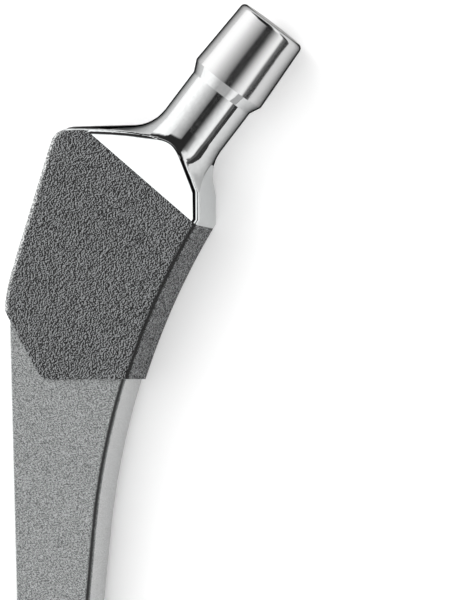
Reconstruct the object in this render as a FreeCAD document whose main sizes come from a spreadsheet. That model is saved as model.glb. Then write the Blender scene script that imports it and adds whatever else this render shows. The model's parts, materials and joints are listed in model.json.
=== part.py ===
"""Cementless short hip stem: a one-piece forging with a turned neck and taper, and a sprayed coating.

Design frame, in which everything is drawn: the XY plane is the mid plane of the stem, +X medial,
+Y proximal, +Z anterior, and the origin is where the neck axis crosses the shoulder line. The
finished pieces are then laid on the stem's flat back face. Millimetres and degrees throughout.
"""
import FreeCAD, Part
import math
import os

import Sketcher
from FreeCAD import Placement, Rotation, Vector

SIZES = {
    # turned end: taper, neck and shoulder
    "neck_angle": 51.2,             # neck axis above the shoulder line
    "taper_base_diameter": 14.0,
    "taper_half_angle": 2.854,      # a cone of 5 deg 42 min 30 s
    "taper_length": 12.7,
    "taper_edge_radius": 0.9,
    "taper_base_reach": 8.7,        # from the origin to the base of the taper, along the neck
    "step_length": 2.0,             # cone between the taper and the thinner neck
    "neck_diameter": 12.1,
    "neck_root_radius": 7.0,
    # outline seen from the front
    "shoulder_reach": 23.7,         # from the origin to the lateral side, along the shoulder line
    "shoulder_corner_radius": 3.5,
    "lateral_flare_angle": 18.2,    # proximal lateral side, from the vertical
    "lateral_bend_radius": 34.0,
    "lateral_bend_height": 30.25,   # from the shoulder line to where the two lateral sides meet
    "lateral_taper_angle": 0.85,
    "stem_length": 112.0,           # shoulder line to tip
    "calcar_offset": 1.6,           # from the origin to the polished medial side
    "calcar_height": 17.2,          # shoulder line to the bend below the polished side
    "calcar_angle": 32.3,           # medial side just below that bend, from the vertical
    "medial_curve_radius": 123.5,
    "medial_taper_angle": 5.9,
    "medial_blend_radius": 8.0,
    "medial_blend_clearance": 0.3,  # how far the blend stays outside the turned neck
    # thickness, a double wedge
    "medial_thickness": 13.35,      # at the bend below the polished side
    "wedge_slope": 0.04,            # thickness gained for each millimetre towards the shoulder
    "section_slope": 0.03,          # thickness gained for each millimetre towards the lateral side
    "face_overrun": 1.0,            # how far the flat faces are cut past the shoulder line
    "edge_radius": 1.1,
    # threaded hole for the insertion tool
    "tool_hole_reach": 16.5,        # from the origin, along the shoulder line
    "tool_hole_diameter": 5.0,      # core of an M6 thread
    "tool_hole_depth": 10.0,
    "tool_countersink_diameter": 6.2,
    "tool_countersink_angle": 90.0,
    # sprayed coating
    "coating_thickness": 0.5,       # how far it stands proud of the bare metal below it
    "coating_rim_depth": 1.2,       # shoulder line to the upper edge of the coating
    "coating_slope_reach": 18.1,    # from the origin to where the upper edge turns down
    "coating_slope_angle": 41.1,    # the upper edge below the shoulder line
    "coating_lower_edge": 44.15,    # shoulder line to the lower edge of the coating
    "coating_bevel_reach": 26.5,    # from the origin to where the lower edge turns up
    "coating_bevel_angle": 61.4,
    "coating_corner_radius": 2.5,
    # stock that is cut away
    "blank_thickness": 20.0,
    "cutter_margin": 3.0,           # how far cuts start outside the metal
    "cutter_reach": 40.0,           # how far cuts run sideways
}
ORIGIN, H_AXIS, V_AXIS = -1, -1, -2
START, END, CENTRE = 1, 2, 3
TOLERANCE = 1e-3
HALF_THICKNESS = ("(Sizes.medial_thickness + Sizes.wedge_slope * Sizes.calcar_height"
                  " + Sizes.section_slope * Sizes.calcar_offset) / 2")
FACE_TILT = "atan(sqrt(Sizes.wedge_slope ^ 2 + Sizes.section_slope ^ 2) / 2)"


def make_sheet(doc):
    sheet = doc.addObject("Spreadsheet::Sheet", "Sizes")
    for row, (name, value) in enumerate(SIZES.items(), start=1):
        sheet.set("A%d" % row, name)
        sheet.set("B%d" % row, str(value))
        sheet.setAlias("B%d" % row, name)
    doc.recompute()
    return sheet


# Sketching. Lines and arcs are drawn roughly in place, then constraints bound to the sheet move them.


def new_sketch(body, name, role="XY_Plane"):
    sketch = body.newObject("Sketcher::SketchObject", name)
    plane = next(feature for feature in body.Origin.OriginFeatures if feature.Role == role)
    sketch.AttachmentSupport = [(plane, "")]
    sketch.MapMode = "FlatFace"
    return sketch


def line(sketch, start, end, construction=False):
    return sketch.addGeometry(Part.LineSegment(Vector(*start, 0), Vector(*end, 0)), construction)


def arc(sketch, centre, radius, start_angle, end_angle):
    circle = Part.Circle(Vector(*centre, 0), Vector(0, 0, 1), radius)
    return sketch.addGeometry(Part.ArcOfCircle(circle, math.radians(start_angle),
                                               math.radians(end_angle)), False)


def constrain(sketch, kind, *references):
    sketch.addConstraint(Sketcher.Constraint(kind, *references))


def constrain_ends(sketch, kind, *pairs):
    for pair in pairs:
        constrain(sketch, kind, *pair)


def dimension(sketch, name, kind, *references, size):
    """Add a driving constraint bound to an expression of sheet sizes."""
    value = float(sketch.evalExpression(size))
    if kind == "Angle":
        value = math.radians(value)
    index = sketch.addConstraint(Sketcher.Constraint(kind, *references, value))
    sketch.renameConstraint(index, name)
    sketch.setExpression("Constraints." + name, size)


def draw_outline(body):
    """Front view of the forged blank, with room round the neck for turning."""
    sketch = new_sketch(body, "outline")
    # lateral side, from the shoulder down to the tip
    lateral_top = line(sketch, (-31.8, -24.8), (-22.7, 3.0))
    lateral_bend = arc(sketch, (-5.2, -33.5), 28.0, 161.8, 181.7)
    lateral_side = line(sketch, (-31.1, -106.0), (-33.2, -34.3))
    tip = arc(sketch, (-25.4, -106.3), 5.7, 181.7, 355.0)
    # medial side, from the tip up to the neck
    medial_side = line(sketch, (-19.7, -106.8), (-16.8, -72.0))
    medial_curve = arc(sketch, (106.3, -82.7), 123.5, 148.3, 175.0)
    calcar = line(sketch, (1.2, -17.8), (1.2, -11.5))
    medial_blend = arc(sketch, (9.2, -11.5), 8.0, 141.2, 180.0)
    # round the turned end, clear of the metal
    neck_side = line(sketch, (3.0, -6.4), (8.8, 0.9))
    neck_step = line(sketch, (8.8, 0.9), (11.7, -1.4))
    taper_side = line(sketch, (11.7, -1.4), (21.2, 10.4))
    taper_end = line(sketch, (21.2, 10.4), (5.6, 22.9))
    far_side = line(sketch, (5.6, 22.9), (-10.4, 3.0))
    top = line(sketch, (-10.4, 3.0), (-22.7, 3.0))
    constrain_ends(sketch, "Tangent", (lateral_top, START, lateral_bend, START),
                   (lateral_bend, END, lateral_side, END), (lateral_side, START, tip, START),
                   (tip, END, medial_side, START), (medial_side, END, medial_curve, END),
                   (calcar, END, medial_blend, END), (medial_blend, START, neck_side, START))
    constrain_ends(sketch, "Coincident", (medial_curve, START, calcar, START),
                   (neck_side, END, neck_step, START), (neck_step, END, taper_side, START),
                   (taper_side, END, taper_end, START), (taper_end, END, far_side, START),
                   (far_side, END, top, START), (top, END, lateral_top, END))

    # lateral side
    shoulder = line(sketch, (0, 0), (-23.7, 0), True)
    constrain(sketch, "Coincident", shoulder, START, ORIGIN, START)
    constrain(sketch, "Horizontal", shoulder)
    constrain(sketch, "PointOnObject", shoulder, END, lateral_top)
    dimension(sketch, "shoulder_reach", "DistanceX", shoulder, END, shoulder, START,
              size="Sizes.shoulder_reach")
    dimension(sketch, "lateral_flare_angle", "Angle", lateral_top, size="90 - Sizes.lateral_flare_angle")
    dimension(sketch, "lateral_taper_angle", "Angle", lateral_side, size="90 + Sizes.lateral_taper_angle")
    dimension(sketch, "lateral_bend_radius", "Radius", lateral_bend, size="Sizes.lateral_bend_radius")
    bend = line(sketch, (0, -29.5), (-33.4, -29.5), True)
    constrain(sketch, "Horizontal", bend)
    constrain(sketch, "PointOnObject", bend, START, V_AXIS)
    constrain(sketch, "PointOnObject", bend, END, lateral_top)
    constrain(sketch, "PointOnObject", bend, END, lateral_side)
    dimension(sketch, "lateral_bend_height", "DistanceY", bend, START, ORIGIN, START,
              size="Sizes.lateral_bend_height")

    # tip
    foot = line(sketch, (0, -112.0), (-23.7, -112.0), True)
    constrain(sketch, "Horizontal", foot)
    constrain(sketch, "PointOnObject", foot, START, V_AXIS)
    constrain(sketch, "Tangent", foot, tip)
    dimension(sketch, "foot_reach", "DistanceX", foot, END, foot, START, size="Sizes.shoulder_reach")
    dimension(sketch, "blank_length", "DistanceY", foot, START, ORIGIN, START,
              size="Sizes.stem_length + Sizes.coating_thickness")

    # medial side
    constrain(sketch, "Vertical", calcar)
    dimension(sketch, "calcar_offset", "DistanceX", ORIGIN, START, calcar, START,
              size="Sizes.calcar_offset")
    dimension(sketch, "calcar_height", "DistanceY", calcar, START, ORIGIN, START,
              size="Sizes.calcar_height")
    spoke = line(sketch, (1.2, -17.8), (106.3, -82.7), True)
    constrain(sketch, "Coincident", spoke, START, calcar, START)
    constrain(sketch, "Coincident", spoke, END, medial_curve, CENTRE)
    dimension(sketch, "calcar_angle", "Angle", spoke, size="-Sizes.calcar_angle")
    dimension(sketch, "medial_curve_radius", "Radius", medial_curve, size="Sizes.medial_curve_radius")
    dimension(sketch, "medial_taper_angle", "Angle", medial_side, size="90 - Sizes.medial_taper_angle")
    dimension(sketch, "medial_blend_radius", "Radius", medial_blend, size="Sizes.medial_blend_radius")

    # turned end
    neck_axis = line(sketch, (0, 0), (8.0, 9.9), True)
    constrain(sketch, "Coincident", neck_axis, START, ORIGIN, START)
    dimension(sketch, "neck_axis_length", "Distance", neck_axis, size="Sizes.taper_length")
    dimension(sketch, "neck_angle", "Angle", neck_axis, size="Sizes.neck_angle")
    for side in (neck_side, taper_side, far_side):
        constrain(sketch, "Parallel", side, neck_axis)
    for side in (neck_step, taper_end):
        constrain(sketch, "Perpendicular", side, neck_axis)
    dimension(sketch, "neck_side_offset", "Distance", ORIGIN, START, neck_side,
              size="Sizes.neck_diameter / 2 + Sizes.medial_blend_clearance")
    dimension(sketch, "neck_step_reach", "Distance", ORIGIN, START, neck_step,
              size="Sizes.taper_base_reach - Sizes.step_length - Sizes.medial_blend_clearance")
    dimension(sketch, "taper_side_offset", "Distance", ORIGIN, START, taper_side,
              size="Sizes.taper_base_diameter / 2 + Sizes.cutter_margin")
    dimension(sketch, "far_side_offset", "Distance", ORIGIN, START, far_side,
              size="Sizes.taper_base_diameter / 2 + Sizes.cutter_margin")
    dimension(sketch, "taper_end_reach", "Distance", ORIGIN, START, taper_end,
              size="Sizes.taper_base_reach + Sizes.taper_length")
    constrain(sketch, "Horizontal", top)
    dimension(sketch, "top_height", "DistanceY", ORIGIN, START, top, END, size="Sizes.cutter_margin")
    return sketch


def draw_turning_profile(body):
    """What the lathe takes off. The sketch's own X axis is the neck axis."""
    sketch = new_sketch(body, "turning_profile")
    sketch.setExpression("AttachmentOffset.Rotation.Angle", "Sizes.neck_angle")
    taper = line(sketch, (8.7, 7.0), (24.4, 6.2))
    step = line(sketch, (8.7, 7.0), (6.7, 6.05))
    neck = line(sketch, (6.7, 6.05), (-1.5, 6.05))
    root = arc(sketch, (-1.5, 13.05), 7.0, 218.8, 270.0)
    shoulder = line(sketch, (-7.0, 8.66), (-32.0, 40.0))
    outside = line(sketch, (-32.0, 40.0), (24.4, 40.0))
    end = line(sketch, (24.4, 40.0), (24.4, 6.2))
    constrain_ends(sketch, "Coincident", (taper, START, step, START), (step, END, neck, START),
                   (shoulder, END, outside, START), (outside, END, end, START),
                   (end, END, taper, END))
    constrain_ends(sketch, "Tangent", (neck, END, root, END), (root, START, shoulder, START))
    constrain(sketch, "Horizontal", neck)
    constrain(sketch, "Horizontal", outside)
    constrain(sketch, "Vertical", end)
    constrain(sketch, "PointOnObject", ORIGIN, START, shoulder)
    dimension(sketch, "taper_base_radius", "DistanceY", ORIGIN, START, taper, START,
              size="Sizes.taper_base_diameter / 2")
    dimension(sketch, "taper_base_reach", "DistanceX", ORIGIN, START, taper, START,
              size="Sizes.taper_base_reach")
    dimension(sketch, "taper_half_angle", "Angle", taper, size="-Sizes.taper_half_angle")
    dimension(sketch, "step_length", "DistanceX", step, END, step, START, size="Sizes.step_length")
    dimension(sketch, "neck_radius", "DistanceY", ORIGIN, START, neck, START,
              size="Sizes.neck_diameter / 2")
    dimension(sketch, "neck_root_radius", "Radius", root, size="Sizes.neck_root_radius")
    dimension(sketch, "shoulder_angle", "Angle", shoulder, size="180 - Sizes.neck_angle")
    dimension(sketch, "end_reach", "DistanceX", ORIGIN, START, end, END,
              size="Sizes.taper_base_reach + Sizes.taper_length + Sizes.cutter_margin")
    dimension(sketch, "outside_radius", "DistanceY", ORIGIN, START, outside, START,
              size="Sizes.cutter_reach")
    return sketch


def draw_neck_axis(body, name):
    sketch = new_sketch(body, name)
    sketch.setExpression("AttachmentOffset.Rotation.Angle", "Sizes.neck_angle")
    axis = line(sketch, (0, 0), (8.7, 0))
    constrain(sketch, "Coincident", axis, START, ORIGIN, START)
    constrain(sketch, "Horizontal", axis)
    dimension(sketch, "length", "DistanceX", axis, START, axis, END, size="Sizes.taper_base_reach")
    return sketch


def draw_face_cut(body, name, side, inset):
    """A rectangle wider than the stem, on the plane of its front (side 1) or back (side -1) face.

    It ends just past the shoulder line, clear of the taper.
    """
    sketch = new_sketch(body, name)
    sketch.setExpression("AttachmentOffset.Base.z", "%d * (%s - %s)" % (side, HALF_THICKNESS, inset))
    sketch.setExpression("AttachmentOffset.Rotation.Axis.x", "Sizes.wedge_slope")
    sketch.setExpression("AttachmentOffset.Rotation.Axis.y", "Sizes.section_slope")
    sketch.setExpression("AttachmentOffset.Rotation.Axis.z", "0")
    sketch.setExpression("AttachmentOffset.Rotation.Angle", "%d * %s" % (side, FACE_TILT))
    bottom = line(sketch, (-40, -115), (40, -115))
    right = line(sketch, (40, -115), (40, 40))
    top = line(sketch, (40, 40), (-40, 40))
    left = line(sketch, (-40, 40), (-40, -115))
    constrain_ends(sketch, "Coincident", (bottom, END, right, START), (right, END, top, START),
                   (top, END, left, START), (left, END, bottom, START))
    constrain(sketch, "Horizontal", bottom)
    constrain(sketch, "Vertical", right)
    constrain(sketch, "Horizontal", top)
    constrain(sketch, "Vertical", left)
    dimension(sketch, "medial_reach", "DistanceX", ORIGIN, START, right, START, size="Sizes.cutter_reach")
    dimension(sketch, "lateral_reach", "DistanceX", left, START, ORIGIN, START, size="Sizes.cutter_reach")
    dimension(sketch, "upper_reach", "DistanceY", ORIGIN, START, top, START, size="Sizes.face_overrun")
    dimension(sketch, "lower_reach", "DistanceY", bottom, START, ORIGIN, START,
              size="Sizes.stem_length + Sizes.cutter_margin")
    return sketch


def draw_lower_edge(sketch):
    """The lower edge of the coating, which turns up towards the lateral side."""
    edge = line(sketch, (4.6, -44.15), (-25.0, -44.15))
    corner = arc(sketch, (-25.0, -41.65), 2.5, 208.6, 270.0)
    bevel = line(sketch, (-27.2, -42.9), (-36.6, -25.7))
    constrain_ends(sketch, "Tangent", (edge, END, corner, END), (corner, START, bevel, START))
    constrain(sketch, "Horizontal", edge)
    dimension(sketch, "lower_edge", "DistanceY", edge, START, ORIGIN, START,
              size="Sizes.coating_lower_edge")
    dimension(sketch, "bevel_angle", "Angle", bevel, size="180 - Sizes.coating_bevel_angle")
    dimension(sketch, "lower_corner_radius", "Radius", corner, size="Sizes.coating_corner_radius")
    turn = line(sketch, (0, -44.15), (-26.5, -44.15), True)
    constrain(sketch, "Horizontal", turn)
    constrain(sketch, "PointOnObject", turn, START, V_AXIS)
    constrain(sketch, "PointOnObject", turn, END, edge)
    constrain(sketch, "PointOnObject", turn, END, bevel)
    dimension(sketch, "bevel_reach", "DistanceX", turn, END, turn, START,
              size="Sizes.coating_bevel_reach")
    return edge, bevel


def close_zone(sketch, medial_end, lateral_end):
    """Put the two upright ends of a zone outside the metal."""
    constrain(sketch, "Vertical", medial_end)
    constrain(sketch, "Vertical", lateral_end)
    dimension(sketch, "medial_reach", "DistanceX", ORIGIN, START, medial_end, START,
              size="Sizes.calcar_offset + Sizes.cutter_margin")
    dimension(sketch, "lateral_reach", "DistanceX", lateral_end, START, ORIGIN, START,
              size="Sizes.shoulder_reach + Sizes.lateral_bend_height * tan(Sizes.lateral_flare_angle)"
                   " + Sizes.cutter_margin")


def draw_coated_zone(doc):
    """Where the coating is sprayed, seen from the front."""
    sketch = doc.addObject("Sketcher::SketchObject", "coated_zone_outline")
    rim = line(sketch, (-36.6, -1.2), (-19.0, -1.2))
    upper_corner = arc(sketch, (-19.0, -3.7), 2.5, 48.9, 90.0)
    slope = line(sketch, (-17.4, -1.8), (4.6, -21.0))
    medial_end = line(sketch, (4.6, -21.0), (4.6, -44.15))
    edge, bevel = draw_lower_edge(sketch)
    lateral_end = line(sketch, (-36.6, -25.7), (-36.6, -1.2))
    constrain_ends(sketch, "Tangent", (rim, END, upper_corner, END), (upper_corner, START, slope, START))
    constrain_ends(sketch, "Coincident", (slope, END, medial_end, START),
                   (medial_end, END, edge, START), (bevel, END, lateral_end, START),
                   (lateral_end, END, rim, START))
    constrain(sketch, "Horizontal", rim)
    dimension(sketch, "rim_depth", "DistanceY", rim, START, ORIGIN, START, size="Sizes.coating_rim_depth")
    dimension(sketch, "slope_angle", "Angle", slope, size="-Sizes.coating_slope_angle")
    dimension(sketch, "upper_corner_radius", "Radius", upper_corner, size="Sizes.coating_corner_radius")
    turn = line(sketch, (0, -1.2), (-18.1, -1.2), True)
    constrain(sketch, "Horizontal", turn)
    constrain(sketch, "PointOnObject", turn, START, V_AXIS)
    constrain(sketch, "PointOnObject", turn, END, rim)
    constrain(sketch, "PointOnObject", turn, END, slope)
    dimension(sketch, "slope_reach", "DistanceX", turn, END, turn, START, size="Sizes.coating_slope_reach")
    close_zone(sketch, medial_end, lateral_end)
    return sketch


def draw_bare_zone(doc):
    """The stem below the coating, down past the tip."""
    sketch = doc.addObject("Sketcher::SketchObject", "bare_zone_outline")
    edge, bevel = draw_lower_edge(sketch)
    lateral_end = line(sketch, (-36.6, -25.7), (-36.6, -115.0))
    bottom = line(sketch, (-36.6, -115.0), (4.6, -115.0))
    medial_end = line(sketch, (4.6, -115.0), (4.6, -44.15))
    constrain_ends(sketch, "Coincident", (bevel, END, lateral_end, START),
                   (lateral_end, END, bottom, START), (bottom, END, medial_end, START),
                   (medial_end, END, edge, START))
    constrain(sketch, "Horizontal", bottom)
    dimension(sketch, "lower_reach", "DistanceY", bottom, START, ORIGIN, START,
              size="Sizes.stem_length + Sizes.cutter_margin")
    close_zone(sketch, medial_end, lateral_end)
    return sketch


# Solids


def half_thickness(sheet, point):
    return (sheet.medial_thickness + sheet.wedge_slope * (point.y + sheet.calcar_height)
            - sheet.section_slope * (point.x - sheet.calcar_offset)) / 2


def middle(edge):
    first, last = edge.ParameterRange
    return edge.valueAt((first + last) / 2)


def on_faces(sheet, edge, inset):
    """True for an edge that lies all along the front or the back face."""
    first, last = edge.ParameterRange
    points = [edge.valueAt(first + (last - first) * share) for share in (0, 0.25, 0.5, 0.75, 1)]
    return all(abs(abs(point.z) - half_thickness(sheet, point) + inset) < TOLERANCE for point in points)


def at_shoulder_corner(sheet, edge, inset):
    """True for the crease between the turned shoulder and the lateral side."""
    point = middle(edge)
    return (abs(point.x + sheet.shoulder_reach) < sheet.shoulder_corner_radius
            and abs(point.y) < sheet.shoulder_corner_radius and not on_faces(sheet, edge, inset))


def round_edges(body, name, base, test, radius):
    """Fillet the edges of a feature that pass a test."""
    fillet = body.newObject("PartDesign::Fillet", name)
    fillet.Base = (base, ["Edge%d" % number for number, edge in enumerate(base.Shape.Edges, start=1)
                          if test(edge)])
    fillet.setExpression("Radius", radius)
    body.Document.recompute()
    return fillet


def shape_metal(body, prefix, outline, turning, inset):
    """Give a body its wedge, turned end and shoulder corner, inset under the finished surface."""
    doc = body.Document
    sheet = doc.Sizes
    blank = body.newObject("PartDesign::Pad", prefix + "blank")
    blank.Profile = outline
    blank.Midplane = True
    blank.setExpression("Length", "Sizes.blank_thickness")
    for name, side in (("front", 1), ("back", -1)):
        cut = body.newObject("PartDesign::Pocket", prefix + name + "_face")
        cut.Profile = draw_face_cut(body, prefix + name + "_plane", side, inset)
        cut.Type = "ThroughAll"
        cut.Reversed = side > 0
    turned = body.newObject("PartDesign::Groove", prefix + "turned_end")
    turned.Profile = turning
    turned.ReferenceAxis = (draw_neck_axis(body, prefix + "neck_axis"), ["Edge1"])
    turned.Angle = 360
    doc.recompute()
    depth = float(turned.evalExpression(inset))
    return round_edges(body, prefix + "shoulder_corner", turned,
                       lambda edge: at_shoulder_corner(sheet, edge, depth),
                       "Sizes.shoulder_corner_radius - " + inset)


def make_forging(doc):
    body = doc.addObject("PartDesign::Body", "forging")
    outline = draw_outline(body)
    turning = draw_turning_profile(body)
    corner = shape_metal(body, "", outline, turning, "0")

    # rounded edges of the two faces and of the taper's end
    sheet = doc.Sizes
    rims = round_edges(body, "rims", corner, lambda edge: on_faces(sheet, edge, 0),
                       "Sizes.edge_radius")
    neck = math.radians(sheet.neck_angle)
    end = Vector(math.cos(neck), math.sin(neck), 0) * (sheet.taper_base_reach + sheet.taper_length)
    round_edges(body, "taper_tip", rims, lambda edge: (edge.CenterOfMass - end).Length < TOLERANCE,
                "Sizes.taper_edge_radius")

    # threaded hole down from the shoulder
    mouth = new_sketch(body, "tool_hole_mouth", "XZ_Plane")
    circle = mouth.addGeometry(Part.Circle(Vector(-16.5, 0, 0), Vector(0, 0, 1), 2.5), False)
    constrain(mouth, "PointOnObject", circle, CENTRE, H_AXIS)
    dimension(mouth, "reach", "DistanceX", circle, CENTRE, ORIGIN, START, size="Sizes.tool_hole_reach")
    dimension(mouth, "diameter", "Diameter", circle, size="Sizes.tool_hole_diameter")
    doc.recompute()
    hole = body.newObject("PartDesign::Hole", "tool_hole")
    hole.Profile = mouth
    doc.recompute()
    hole.Reversed = True
    hole.HoleCutType = "Countersink"
    hole.DepthType = "Dimension"
    hole.setExpression("Diameter", "Sizes.tool_hole_diameter")
    hole.setExpression("Depth", "Sizes.tool_hole_depth")
    hole.setExpression("HoleCutDiameter", "Sizes.tool_countersink_diameter")
    hole.setExpression("HoleCutCountersinkAngle", "Sizes.tool_countersink_angle")
    doc.recompute()
    return body


def make_core(doc):
    """The metal under the coating: the forging again, moved in by the coating's thickness.

    Its rims stay sharp, so the coating thins where it turns over them.
    """
    body = doc.addObject("PartDesign::Body", "core")
    outline, turning = [body.newObject("PartDesign::SubShapeBinder", name)
                        for name in ("core_outline", "core_turning_profile")]
    outline.Support = [(doc.outline, ("",))]
    outline.setExpression("Offset", "-Sizes.coating_thickness")
    turning.Support = [(doc.turning_profile, ("",))]
    turning.setExpression("Offset", "Sizes.coating_thickness")
    for binder in (outline, turning):
        binder.OffsetJoinType = "Intersection"
    doc.recompute()
    shape_metal(body, "core_", outline, turning, "Sizes.coating_thickness")
    return body


def make_shaft(doc, core):
    """The bare metal below the coating: the core with its rims rounded."""
    body = doc.addObject("PartDesign::Body", "shaft")
    body.BaseFeature = core
    doc.recompute()
    sheet = doc.Sizes
    round_edges(body, "shaft_rims", body.Group[0],
                lambda edge: on_faces(sheet, edge, sheet.coating_thickness), "Sizes.edge_radius")
    return body


def make_zone(doc, name, outline):
    zone = doc.addObject("Part::Extrusion", name)
    zone.Base = outline
    zone.Dir = (0, 0, 1)
    zone.Solid = True
    zone.Symmetric = True
    zone.setExpression("LengthFwd", "Sizes.blank_thickness")
    return zone


def boolean(doc, kind, name, base, tool):
    feature = doc.addObject("Part::" + kind, name)
    feature.Base = base
    feature.Tool = tool
    return feature


def lying_placement(sheet, pieces):
    """Lay the stem on its back face, with the origin under the middle of its bounding box."""
    back = Vector(sheet.section_slope / 2, -sheet.wedge_slope / 2, -1)
    turn = Rotation(back, Vector(0, 0, -1))
    whole = Part.makeCompound([piece.Shape for piece in pieces])
    box = whole.transformed(Placement(Vector(), turn).toMatrix(), True).optimalBoundingBox(False)
    return Placement(Vector(-box.Center.x, -box.Center.y, -box.ZMin), turn)


def check(doc, pieces):
    for thing in doc.Objects:
        if "Invalid" in thing.State or "Error" in thing.State:
            raise RuntimeError("%s failed: %s" % (thing.Name, thing.getStatusString()))
    for piece in pieces:
        if piece.Shape.isNull() or not piece.Shape.isValid() or len(piece.Shape.Solids) != 1:
            raise RuntimeError("%s is not one valid solid" % piece.Label)


def main():
    doc = FreeCAD.newDocument("hip_stem")
    sheet = make_sheet(doc)
    forging = make_forging(doc)
    core = make_core(doc)
    shaft = make_shaft(doc, core)
    coated_zone = make_zone(doc, "coated_zone", draw_coated_zone(doc))
    bare_zone = make_zone(doc, "bare_zone", draw_bare_zone(doc))
    recess = boolean(doc, "Cut", "recess", coated_zone, core)
    allowance = boolean(doc, "Cut", "allowance", bare_zone, shaft)
    recessed = boolean(doc, "Cut", "recessed_forging", forging, recess)
    stem = boolean(doc, "Cut", "stem", recessed, allowance)
    coating = boolean(doc, "Common", "porous_coating", forging, recess)
    doc.recompute()

    pieces = [stem, coating]
    placement = lying_placement(sheet, pieces)
    for piece in pieces:
        piece.Placement = placement
    doc.recompute()
    check(doc, pieces)
    os.makedirs("parts", exist_ok=True)
    for piece in pieces:
        piece.Shape.exportStep("parts/%s.step" % piece.Label)


main()
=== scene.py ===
"""A short hip stem with a polished neck and a porous coating, lying on its back face."""
import json
import math

import bmesh
import bpy
from mathutils import Matrix, Vector


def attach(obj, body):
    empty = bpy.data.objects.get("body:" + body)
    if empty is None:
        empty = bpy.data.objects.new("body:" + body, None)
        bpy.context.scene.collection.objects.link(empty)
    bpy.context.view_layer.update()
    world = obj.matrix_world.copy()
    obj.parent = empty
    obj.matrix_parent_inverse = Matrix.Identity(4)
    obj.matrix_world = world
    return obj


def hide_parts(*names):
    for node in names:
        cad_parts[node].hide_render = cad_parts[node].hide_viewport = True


MM = 0.001

# Where the stem's finishes meet, measured from the shoulder origin, the point where the neck's
# axis crosses the shoulder line.
TAPER_BASE_REACH = 8.7 * MM           # base of the taper, along the neck
NECK_ROOT_START = -1.51 * MM          # where the neck begins to widen, along the neck
NECK_RADIUS = 6.05 * MM
NECK_ROOT_RADIUS = 7.0 * MM
SHOULDER_SLOPE = math.radians(51.2)   # cone of the turned shoulder, from the neck's axis
COATING_MIDDLE = -30 * MM             # along the stem: bare metal is polished above, blasted below
TURNED_TOLERANCE = 0.05 * MM          # how near a turned face's middle lies to the turned form

POLISHED, GROUND, BLASTED, TURNED = range(4)      # the stem's material slots

# Meshes
MERGE_DISTANCE = 1e-7                 # corners nearer than this are one, in metres
FLAT_ANGLE = 0.1                      # triangles that turn less are one flat face, in degrees
SHARP_ANGLE = 22                      # edges that turn more than this stay crisp, in degrees

# The darker and the lighter tone of each finish, which its grain or its rings go between. Along
# the grain they stand for painted light and painted shade on the sides of single grains.
POLISHED_TONES = (0.48, 0.495, 0.495), (0.51, 0.525, 0.525)
TURNED_TONES = (0.42, 0.425, 0.425), (0.46, 0.465, 0.465)
GROUND_TONES = (0.4, 0.4, 0.4), (0.47, 0.47, 0.47)
BLASTED_FACE_TONES = (0.065, 0.068, 0.068), (0.325, 0.335, 0.334)
BLASTED_SIDE_TONES = (0.34, 0.345, 0.345), (0.56, 0.565, 0.565)
SPRAYED_TONES = (0.001, 0.001, 0.001), (0.243, 0.25, 0.254)
SPRAYED_LIT_RIM_TONES = (0.12, 0.125, 0.125), (0.62, 0.63, 0.63)

# Rims of one tone: painted shade along the dark rims, and a painted highlight on the lit rim
PAINTED_SHADE_RIM = (0.02, 0.02, 0.02)
SPRAYED_PAINTED_SHADE_RIM = (0.005, 0.005, 0.005)
BLASTED_LIT_RIM = (0.66, 0.67, 0.67)

# Grain and rings
# Painted light and shade: the grain's shade paints each grain pale towards this step, dark away from
# it
GRAIN_STEP = Vector((0.95, -0.3, -0.3))   # grains are paler on the side that this points to
# Painted shade: the coating's grain shade is raised to this power, darkening it between its pale
# grains
HOLLOW_SHADE_POWER = 2.6                    # darkens the coating between its few pale grains
RINGS_PER_METRE = 9000.0

# Masks of the rims and of the medial side: where each sets in, by the share of the medial or of
# the anterior axis in the direction of the surface
MEDIAL_RIM_MEDIALLY = (0.02, 0.1)
LATERAL_RIM_MEDIALLY = (-0.45, -0.05)
LATERAL_RIM_FACING = (0.1, 0.3)
MEDIAL_SIDE_MEDIALLY = (-0.3, 0.3)
MEDIAL_SIDE_FACING = (0.25, 0.5)

# Camera: looks down on the lying stem, leaning towards its medial side and its tip.
CAMERA_TARGET = Vector((13.28, 15.22, 6.34)) * MM
CAMERA_DISTANCE = 480 * MM
CAMERA_LEAN_MEDIAL = math.radians(14.17)
CAMERA_LEAN_DISTAL = math.radians(2.763)
CAMERA_ROLL = math.radians(-0.12)
CAMERA_LENS = 167.2                   # focal length in millimetres
CAMERA_SENSOR = 36                    # along the frame's long side, in millimetres
CAMERA_NEAREST = 10 * MM

# Floor
FLOOR_HALF_WIDTH = 250 * MM
FLOOR_COLOUR = (0.85, 0.85, 0.85, 1)
FLOOR_ROUGHNESS = 0.9
FLOOR_GLOW = 0.15                     # lifts the floor to white where it is seen or reflected

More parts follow.
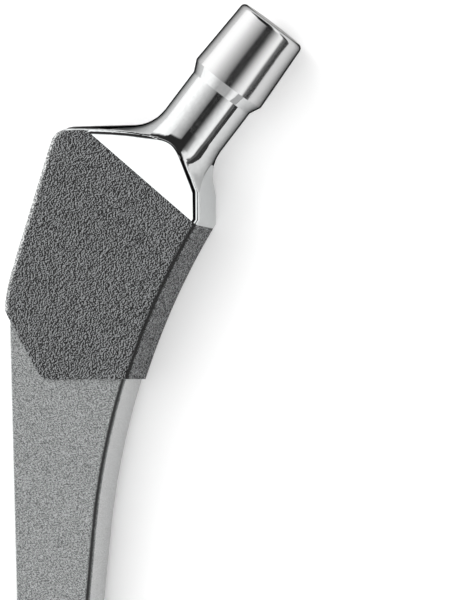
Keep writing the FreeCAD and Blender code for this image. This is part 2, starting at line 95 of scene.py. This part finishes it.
# Studio. Its brightness goes by two measures of a direction: the turn round the neck, in degrees
# from overhead towards the medial side, and the lean, from -1 back along the neck to 1 out past
# the taper.
STUDIO_STRENGTH = 2.35
PANELS = ((-180, 0.5), (-98, 1.0), (-75, 0.98), (-63, 0.88), (-52, 0.7), (-42, 0.55),
          (-33, 0.43), (-24, 0.3), (-15, 0.18), (-11, 0.02), (8, 0.02), (13, 0.12), (20, 0.33),
          (25, 0.48), (30, 0.6), (36, 0.74), (43, 0.84), (50, 0.8), (55, 0.1), (62, 0.1),
          (66, 0.03), (76, 0.03), (84, 0.3), (95, 0.6), (180, 0.4))     # turn and brightness
CEILING_LEAN = (-0.1, -0.085)         # below these is the ceiling, above them are the panels
SOFT_PANEL_LEAN = (-0.7, -0.5)        # below these the ceiling has the panels again, softened
SOFT_PANEL_DARKEST = 0.35
END_START = ((-68.4, 0.6), (-54, 0.45), (-28.8, 0.43), (-7.2, 0.4), (3.6, 0.4), (14.4, 0.66),
             (43.2, 0.72), (54, 0.88), (75.6, 0.88), (93.6, 0.7))       # turn and lean
END_FADE = 0.08
END_DARK_TO_PALE = (7.2, 28.8)        # turns between which the end goes from dark to pale
END_DARK, END_PALE = 0.02, 0.8

# Key light
KEY_LIGHT_STRENGTH = 1.2
KEY_LIGHT_FROM = Vector((-0.62, 0.5, 0.6))
KEY_LIGHT_WIDTH = math.radians(25)

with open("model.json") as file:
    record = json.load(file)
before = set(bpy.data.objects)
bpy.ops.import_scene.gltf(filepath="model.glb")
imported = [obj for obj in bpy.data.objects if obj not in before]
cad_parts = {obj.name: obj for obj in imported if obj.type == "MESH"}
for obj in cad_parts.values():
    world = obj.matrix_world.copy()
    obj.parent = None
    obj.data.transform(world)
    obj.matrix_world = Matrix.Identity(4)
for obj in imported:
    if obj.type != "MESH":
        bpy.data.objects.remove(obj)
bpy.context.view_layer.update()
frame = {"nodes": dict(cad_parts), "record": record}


# Frame


def mount(name):
    """Place and direction of one of the record's mounts."""
    found = next(m for m in frame["record"]["mounts"] if m["name"] == name)
    return Vector(found["pos_m"]), Vector(found["axis"]).normalized()


taper_base, neck_axis = mount("taper")
shoulder_origin = taper_base - neck_axis * TAPER_BASE_REACH
proximal = mount("tool_thread")[1]
anterior = neck_axis.cross(proximal).normalized()
medial = proximal.cross(anterior)


# Node helpers


class Nodes:
    """A node tree with short calls for adding, setting and linking its nodes."""

    def __init__(self, tree):
        self.tree = tree

    def add(self, kind, inputs=None, **settings):
        node = self.tree.nodes.new(kind)
        for name, value in settings.items():
            setattr(node, name, value)
        for name, value in (inputs or {}).items():
            self.feed(node.inputs[name], value)
        return node

    def feed(self, socket, value):
        """Link a socket to another one, or set it to a plain value."""
        if isinstance(value, bpy.types.NodeSocket):
            self.tree.links.new(value, socket)
        else:
            socket.default_value = value

    def math(self, operation, *values, clamp=False):
        node = self.add("ShaderNodeMath", operation=operation, use_clamp=clamp)
        for socket, value in zip(node.inputs, values):
            self.feed(socket, value)
        return node.outputs[0]

    def dot(self, vector, direction):
        node = self.add("ShaderNodeVectorMath", operation="DOT_PRODUCT")
        self.feed(node.inputs[0], vector)
        self.feed(node.inputs[1], direction)
        return node.outputs["Value"]

    def spread(self, value, low, high, out_low=0.0, out_high=1.0):
        """Go softly from out_low, where the value is low, to out_high."""
        return self.add("ShaderNodeMapRange", {"Value": value, "From Min": low, "From Max": high,
                                               "To Min": out_low, "To Max": out_high},
                        interpolation_type="SMOOTHSTEP").outputs["Result"]

    def fall(self, value, low, high):
        """Go softly from one, where the value is low, to nought."""
        return self.spread(value, low, high, 1.0, 0.0)

    def mix(self, factor, first, second):
        node = self.add("ShaderNodeMix", data_type="FLOAT")
        for socket, value in zip((node.inputs[0], node.inputs[2], node.inputs[3]),
                                 (factor, first, second)):
            self.feed(socket, value)
        return node.outputs[0]

    def ramp(self, value, stops):
        """Tones at given positions from 0 to 1, with even slopes between them."""
        node = self.add("ShaderNodeValToRGB", {"Fac": value})
        elements = node.color_ramp.elements
        for index, (position, tone) in enumerate(stops):
            stop = elements[index] if index < 2 else elements.new(position)
            stop.position = position
            stop.color = (tone, tone, tone, 1)
        return node.outputs["Color"]


def new_material(name, metallic):
    material = bpy.data.materials.new(name)
    material.use_nodes = True
    shader = material.node_tree.nodes["Principled BSDF"]
    shader.inputs["Metallic"].default_value = metallic
    return material, Nodes(material.node_tree), shader


def blend(nodes, mask, first, second):
    """Mix two colours, given as tuples or as sockets, by a mask."""
    node = nodes.add("ShaderNodeMix", {0: mask}, data_type="RGBA")
    for socket, colour in ((node.inputs[6], first), (node.inputs[7], second)):
        nodes.feed(socket, (*colour, 1) if isinstance(colour, tuple) else colour)
    return node.outputs[2]


def bump(nodes, shader, height, distance, strength):
    node = nodes.add("ShaderNodeBump", {"Height": height, "Distance": distance,
                                        "Strength": strength})
    nodes.feed(shader.inputs["Normal"], node.outputs["Normal"])


# Grain, shared by the polished, the turned, the blasted and the sprayed surfaces. Its shade is
# painted light and shade on the sides of its grains.


def make_grain_group():
    """Grain of a metal: a height for the bump and a shade for the colour.

    The shade is the height's change over a step of about one grain's width, which leaves single
    grains and no broad patches. It is painted light and shade: a grain is pale where it falls away
    along the step and dark where it rises, as if lit from the side the step points to.
    """
    tree = bpy.data.node_groups.new("metal_grain", "ShaderNodeTree")
    for name, kind in (("Position", "NodeSocketVector"), ("Scale", "NodeSocketFloat"),
                       ("Step", "NodeSocketVector"), ("Contrast", "NodeSocketFloat")):
        tree.interface.new_socket(name, in_out="INPUT", socket_type=kind)
    for name in ("Height", "Shade"):
        tree.interface.new_socket(name, in_out="OUTPUT", socket_type="NodeSocketFloat")
    nodes = Nodes(tree)
    given = nodes.add("NodeGroupInput").outputs
    further = nodes.add("ShaderNodeVectorMath", {0: given["Position"], 1: given["Step"]},
                        operation="ADD").outputs["Vector"]
    height, next_height = [
        nodes.add("ShaderNodeTexNoise", {"Vector": place, "Scale": given["Scale"], "Detail": 1.5,
                                         "Roughness": 0.6}).outputs["Fac"]
        for place in (given["Position"], further)]
    change = nodes.math("MULTIPLY", nodes.math("SUBTRACT", height, next_height), given["Contrast"])
    nodes.add("NodeGroupOutput", {"Height": height,
                                  "Shade": nodes.math("ADD", change, 0.5, clamp=True)})
    return tree


grain_group = make_grain_group()


def grain(nodes, scale, width, contrast):
    """Height and shade of grain. Its shade compares heights the given width apart, in metres."""
    position = nodes.add("ShaderNodeTexCoord").outputs["Object"]
    step = (GRAIN_STEP * width)[:]
    return nodes.add("ShaderNodeGroup", {"Position": position, "Scale": scale, "Step": step,
                                         "Contrast": contrast}, node_tree=grain_group).outputs


# Rims and medial side, shared by the polished, the blasted and the sprayed surfaces. The rim masks
# carry painted shade and painted highlights.


def make_rim_group():
    """Masks of the rims, where the stem's faces turn over, and of its narrow medial side.

    They are told from the direction of the surface: a face looks along the anterior axis, a side
    across it, and the rim is all between. The rim starts and ends softly, at given shares of the
    anterior axis in that direction. Its medial part has a mask of its own. The rim and the medial
    rim carry painted shade, a dark line along the rims. The lateral rim is a wider band, for a
    painted highlight, and the medial side sets in where the faces end.
    """
    tree = bpy.data.node_groups.new("rim_and_side", "ShaderNodeTree")
    for name in ("Rim Start", "Rim Full", "Rim Fade", "Rim End"):
        tree.interface.new_socket(name, in_out="INPUT", socket_type="NodeSocketFloat")
    for name in ("Rim", "Medial Rim", "Lateral Rim", "Medial Side"):
        tree.interface.new_socket(name, in_out="OUTPUT", socket_type="NodeSocketFloat")
    nodes = Nodes(tree)
    given = nodes.add("NodeGroupInput").outputs
    direction = nodes.add("ShaderNodeTexCoord").outputs["Normal"]
    facing = nodes.math("ABSOLUTE", nodes.dot(direction, anterior))
    medially = nodes.dot(direction, medial)
    rim = nodes.math("MULTIPLY", nodes.fall(facing, given["Rim Full"], given["Rim Start"]),
                     nodes.spread(facing, given["Rim End"], given["Rim Fade"]))
    nodes.add("NodeGroupOutput", {
        "Rim": rim,
        "Medial Rim": nodes.math("MULTIPLY", rim, nodes.spread(medially, *MEDIAL_RIM_MEDIALLY)),
        "Lateral Rim": nodes.math("MULTIPLY", nodes.fall(medially, *LATERAL_RIM_MEDIALLY),
                                  nodes.spread(facing, *LATERAL_RIM_FACING)),
        "Medial Side": nodes.math("MULTIPLY", nodes.fall(facing, *MEDIAL_SIDE_FACING),
                                  nodes.spread(medially, *MEDIAL_SIDE_MEDIALLY)),
    })
    return tree


rim_group = make_rim_group()


def rim_and_side(nodes, start, full, fade, end):
    """The masks, with a rim that goes from start to end as a face turns over to a side."""
    return nodes.add("ShaderNodeGroup", {"Rim Start": start, "Rim Full": full, "Rim Fade": fade,
                                         "Rim End": end}, node_tree=rim_group).outputs


# Materials


def polish(nodes, shader):
    """Faint waves left by polishing, in the roughness and the bump. Returns their shade, faint
    painted light and shade of the waves.
    """
    waves = grain(nodes, scale=900.0, width=0.5 * MM, contrast=1.5)
    nodes.feed(shader.inputs["Roughness"], nodes.mix(waves["Shade"], 0.035, 0.06))
    bump(nodes, shader, waves["Height"], distance=0.002 * MM, strength=0.3)
    return waves["Shade"]


def make_polished_metal():
    """Flat polished faces, whose narrow rims are painted dark: a painted dark reflection."""
    material, nodes, shader = new_material("polished_titanium", metallic=1.0)
    colour = blend(nodes, polish(nodes, shader), *POLISHED_TONES)
    rim = rim_and_side(nodes, start=0.9995, full=0.993, fade=0.9, end=0.85)["Rim"]
    # Painted dark reflection along the rims
    nodes.feed(shader.inputs["Base Color"], blend(nodes, rim, colour, PAINTED_SHADE_RIM))
    return material


def make_turned_metal():
    """Neck and shoulder: polished on the lathe, darker where they turn away."""
    material, nodes, shader = new_material("turned_titanium", metallic=1.0)
    colour = blend(nodes, polish(nodes, shader), *TURNED_TONES)
    nodes.feed(shader.inputs["Base Color"], colour)
    shader.inputs["Specular Tint"].default_value = (0, 0, 0, 1)
    return material


def make_ground_metal():
    """The taper: fine rings left by grinding round its axis."""
    material, nodes, shader = new_material("ground_titanium", metallic=1.0)
    position = nodes.add("ShaderNodeTexCoord").outputs["Object"]
    along = nodes.math("MULTIPLY", nodes.dot(position, neck_axis), RINGS_PER_METRE)
    rings = nodes.add("ShaderNodeTexNoise", {"W": along, "Scale": 1.0, "Detail": 2.0},
                      noise_dimensions="1D").outputs["Fac"]
    nodes.feed(shader.inputs["Base Color"], blend(nodes, rings, *GROUND_TONES))
    shader.inputs["Specular Tint"].default_value = (0, 0, 0, 1)
    nodes.feed(shader.inputs["Roughness"], nodes.mix(rings, 0.1, 0.17))
    bump(nodes, shader, rings, distance=0.004 * MM, strength=0.4)
    return material


def make_blasted_metal():
    """The lower stem: fine grain, paler on the medial side, with a painted highlight and a painted
    dark rim.
    """
    material, nodes, shader = new_material("blasted_titanium", metallic=0.6)
    grains = grain(nodes, scale=5200.0, width=0.35 * MM, contrast=3.1)
    shade = grains["Shade"]
    masks = rim_and_side(nodes, start=0.995, full=0.88, fade=0.8, end=0.4)
    colour = blend(nodes, masks["Medial Side"], blend(nodes, shade, *BLASTED_FACE_TONES),
                   blend(nodes, shade, *BLASTED_SIDE_TONES))
    # Painted highlight along the lateral rim
    colour = blend(nodes, masks["Lateral Rim"], colour, BLASTED_LIT_RIM)
    # Painted shade along the medial rim
    nodes.feed(shader.inputs["Base Color"], blend(nodes, masks["Medial Rim"], colour, PAINTED_SHADE_RIM))
    nodes.feed(shader.inputs["Roughness"], nodes.mix(shade, 0.42, 0.55))
    bump(nodes, shader, grains["Height"], distance=0.12 * MM, strength=0.8)
    return material


def make_sprayed_coating():
    """The coating: coarse dark grain, with a painted highlight rim and a painted dark rim."""
    material, nodes, shader = new_material("sprayed_titanium", metallic=0.4)
    grains = grain(nodes, scale=3700.0, width=0.19 * MM, contrast=7.0)
    # Painted shade in the hollows between the pale grains
    shade = nodes.math("POWER", grains["Shade"], HOLLOW_SHADE_POWER)
    masks = rim_and_side(nodes, start=1.0, full=0.8, fade=0.6, end=0.25)
    # Painted highlight along the lateral rim, over the grain
    colour = blend(nodes, masks["Lateral Rim"], blend(nodes, shade, *SPRAYED_TONES),
                   blend(nodes, shade, *SPRAYED_LIT_RIM_TONES))
    # Painted shade along the medial rim
    nodes.feed(shader.inputs["Base Color"],
               blend(nodes, masks["Medial Rim"], colour, SPRAYED_PAINTED_SHADE_RIM))
    nodes.feed(shader.inputs["Roughness"], nodes.mix(shade, 0.7, 0.5))
    bump(nodes, shader, grains["Height"], distance=0.5 * MM, strength=1.0)
    return material


# The two pieces: smooth-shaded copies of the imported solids


def smooth_copy(node, name):
    """Copy a CAD node as one closed mesh whose round surfaces shade smoothly."""
    mesh = frame["nodes"][node].data.copy()
    mesh.name = name
    mesh.materials.clear()
    shape = bmesh.new()
    shape.from_mesh(mesh)
    bmesh.ops.remove_doubles(shape, verts=shape.verts, dist=MERGE_DISTANCE)
    bmesh.ops.dissolve_degenerate(shape, dist=MERGE_DISTANCE, edges=shape.edges)
    bmesh.ops.dissolve_limit(shape, angle_limit=math.radians(FLAT_ANGLE), verts=shape.verts,
                             edges=shape.edges)
    shape.to_mesh(mesh)
    shape.free()
    mesh.attributes.remove(mesh.attributes["custom_normal"])
    mesh.shade_smooth()
    mesh.set_sharp_from_angle(angle=math.radians(SHARP_ANGLE))
    piece = bpy.data.objects.new(name, mesh)
    bpy.context.collection.objects.link(piece)
    weighted = piece.modifiers.new("weighted_normals", "WEIGHTED_NORMAL")
    weighted.mode = "FACE_AREA"
    weighted.keep_sharp = True
    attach(piece, "root")
    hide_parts(node)
    return piece


def finish_of(face):
    """Which of the stem's material slots a face has, by its place."""
    reach = face.center - shoulder_origin
    along = reach.dot(neck_axis)
    radius = (reach - along * neck_axis).length
    if along > TAPER_BASE_REACH:
        return GROUND
    if reach.dot(proximal) < COATING_MIDDLE:
        return BLASTED
    root = math.hypot(along - NECK_ROOT_START, radius - NECK_RADIUS - NECK_ROOT_RADIUS)
    cone = along * math.sin(SHOULDER_SLOPE) + radius * math.cos(SHOULDER_SLOPE)
    off_turned = min(abs(root - NECK_ROOT_RADIUS), abs(cone))
    if along > NECK_ROOT_START or off_turned < TURNED_TOLERANCE:
        return TURNED
    return POLISHED


stem = smooth_copy("stem", "stem_metal")
for material in (make_polished_metal(), make_ground_metal(), make_blasted_metal(),
                 make_turned_metal()):
    stem.data.materials.append(material)
for face in stem.data.polygons:
    face.material_index = finish_of(face)

coating = smooth_copy("porous_coating", "sprayed_layer")
coating.data.materials.append(make_sprayed_coating())


# Camera


def make_camera():
    """Place the camera, and return where it stands."""
    lean = Matrix.Rotation(CAMERA_LEAN_MEDIAL, 3, "Y") @ Matrix.Rotation(CAMERA_LEAN_DISTAL, 3, "X")
    turn = lean @ Matrix.Rotation(CAMERA_ROLL, 3, "Z")
    place = CAMERA_TARGET + turn @ Vector((0, 0, CAMERA_DISTANCE))
    data = bpy.data.cameras.new("camera")
    data.sensor_width = CAMERA_SENSOR
    data.lens = CAMERA_LENS
    data.clip_start = CAMERA_NEAREST
    camera = bpy.data.objects.new("camera", data)
    camera.matrix_world = Matrix.Translation(place) @ turn.to_4x4()
    bpy.context.collection.objects.link(camera)
    bpy.context.scene.camera = camera
    return place


camera_place = make_camera()


# Floor and light


def make_floor():
    """A plain pale floor, white to the camera and in the metal's reflections."""
    shape = bmesh.new()
    bmesh.ops.create_grid(shape, x_segments=1, y_segments=1, size=FLOOR_HALF_WIDTH)
    mesh = bpy.data.meshes.new("floor")
    shape.to_mesh(mesh)
    shape.free()
    floor = bpy.data.objects.new("floor", mesh)
    bpy.context.collection.objects.link(floor)
    material, nodes, shader = new_material("white_floor", metallic=0.0)
    shader.inputs["Base Color"].default_value = FLOOR_COLOUR
    shader.inputs["Roughness"].default_value = FLOOR_ROUGHNESS
    shader.inputs["Specular IOR Level"].default_value = 0.0
    shader.inputs["Emission Color"].default_value = (1, 1, 1, 1)
    path = nodes.add("ShaderNodeLightPath").outputs
    seen = nodes.math("ADD", nodes.math("ADD", path["Is Camera Ray"], path["Is Glossy Ray"]),
                      path["Is Transmission Ray"], clamp=True)
    nodes.feed(shader.inputs["Emission Strength"], nodes.math("MULTIPLY", seen, FLOOR_GLOW))
    mesh.materials.append(material)


make_floor()


def share_of_turn(degrees):
    """A turn round the neck as a share of the whole turn that starts at -180 degrees."""
    return (degrees + 180) / 360


def make_studio(along, across, up):
    """The room's soft light, by direction: along the neck, across it, and up to the camera.

    Pale and dark panels are laid out by their turn round the neck, which shows them as stripes.
    Directions that lean back towards the neck's root see a white ceiling, as the flat faces do.
    The steepest of them, which the step below the taper reflects, see the panels softened. Past
    the neck's end is another part of the room, dark on the lateral side and pale on the medial
    side, and the lean at which it begins goes by the turn.
    """
    world = bpy.data.worlds.new("studio")
    bpy.context.scene.world = world
    world.use_nodes = True
    nodes = Nodes(world.node_tree)
    ray = nodes.add("ShaderNodeTexCoord").outputs["Generated"]
    angle = nodes.math("ARCTAN2", nodes.dot(ray, across), nodes.dot(ray, up))
    turn = nodes.math("MULTIPLY_ADD", angle, 1 / (2 * math.pi), 0.5)
    lean = nodes.dot(ray, along)
    panels, end_start = [
        nodes.ramp(turn, [(share_of_turn(degrees), value) for degrees, value in table])
        for table in (PANELS, END_START)]

    soft_panels = nodes.math("MAXIMUM", panels, SOFT_PANEL_DARKEST)
    ceiling = nodes.mix(nodes.spread(lean, *SOFT_PANEL_LEAN), soft_panels, 1.0)
    light = nodes.mix(nodes.fall(lean, *CEILING_LEAN), panels, ceiling)
    end = nodes.spread(turn, *map(share_of_turn, END_DARK_TO_PALE), END_DARK, END_PALE)
    past_end = nodes.spread(lean, end_start, nodes.math("ADD", end_start, END_FADE))
    light = nodes.mix(past_end, light, end)

    path = nodes.add("ShaderNodeLightPath").outputs
    background = world.node_tree.nodes["Background"]
    background.inputs["Color"].default_value = (1, 1, 1, 1)
    nodes.feed(background.inputs["Strength"],
               nodes.mix(path["Is Camera Ray"], nodes.math("MULTIPLY", light, STUDIO_STRENGTH), 1.0))


to_camera = (camera_place - shoulder_origin).normalized()
across_neck = neck_axis.cross(to_camera).normalized()
make_studio(neck_axis, across_neck, across_neck.cross(neck_axis))


def make_key_light():
    """A broad lamp from the lateral side and the shoulder's end, which brings out the grain."""
    data = bpy.data.lights.new("key_light", "SUN")
    data.energy = KEY_LIGHT_STRENGTH
    data.angle = KEY_LIGHT_WIDTH
    lamp = bpy.data.objects.new("key_light", data)
    lamp.matrix_world = KEY_LIGHT_FROM.to_track_quat("Z", "Y").to_matrix().to_4x4()
    lamp.visible_glossy = False
    bpy.context.collection.objects.link(lamp)


make_key_light()

scene = bpy.context.scene
scene.view_settings.view_transform = "Standard"
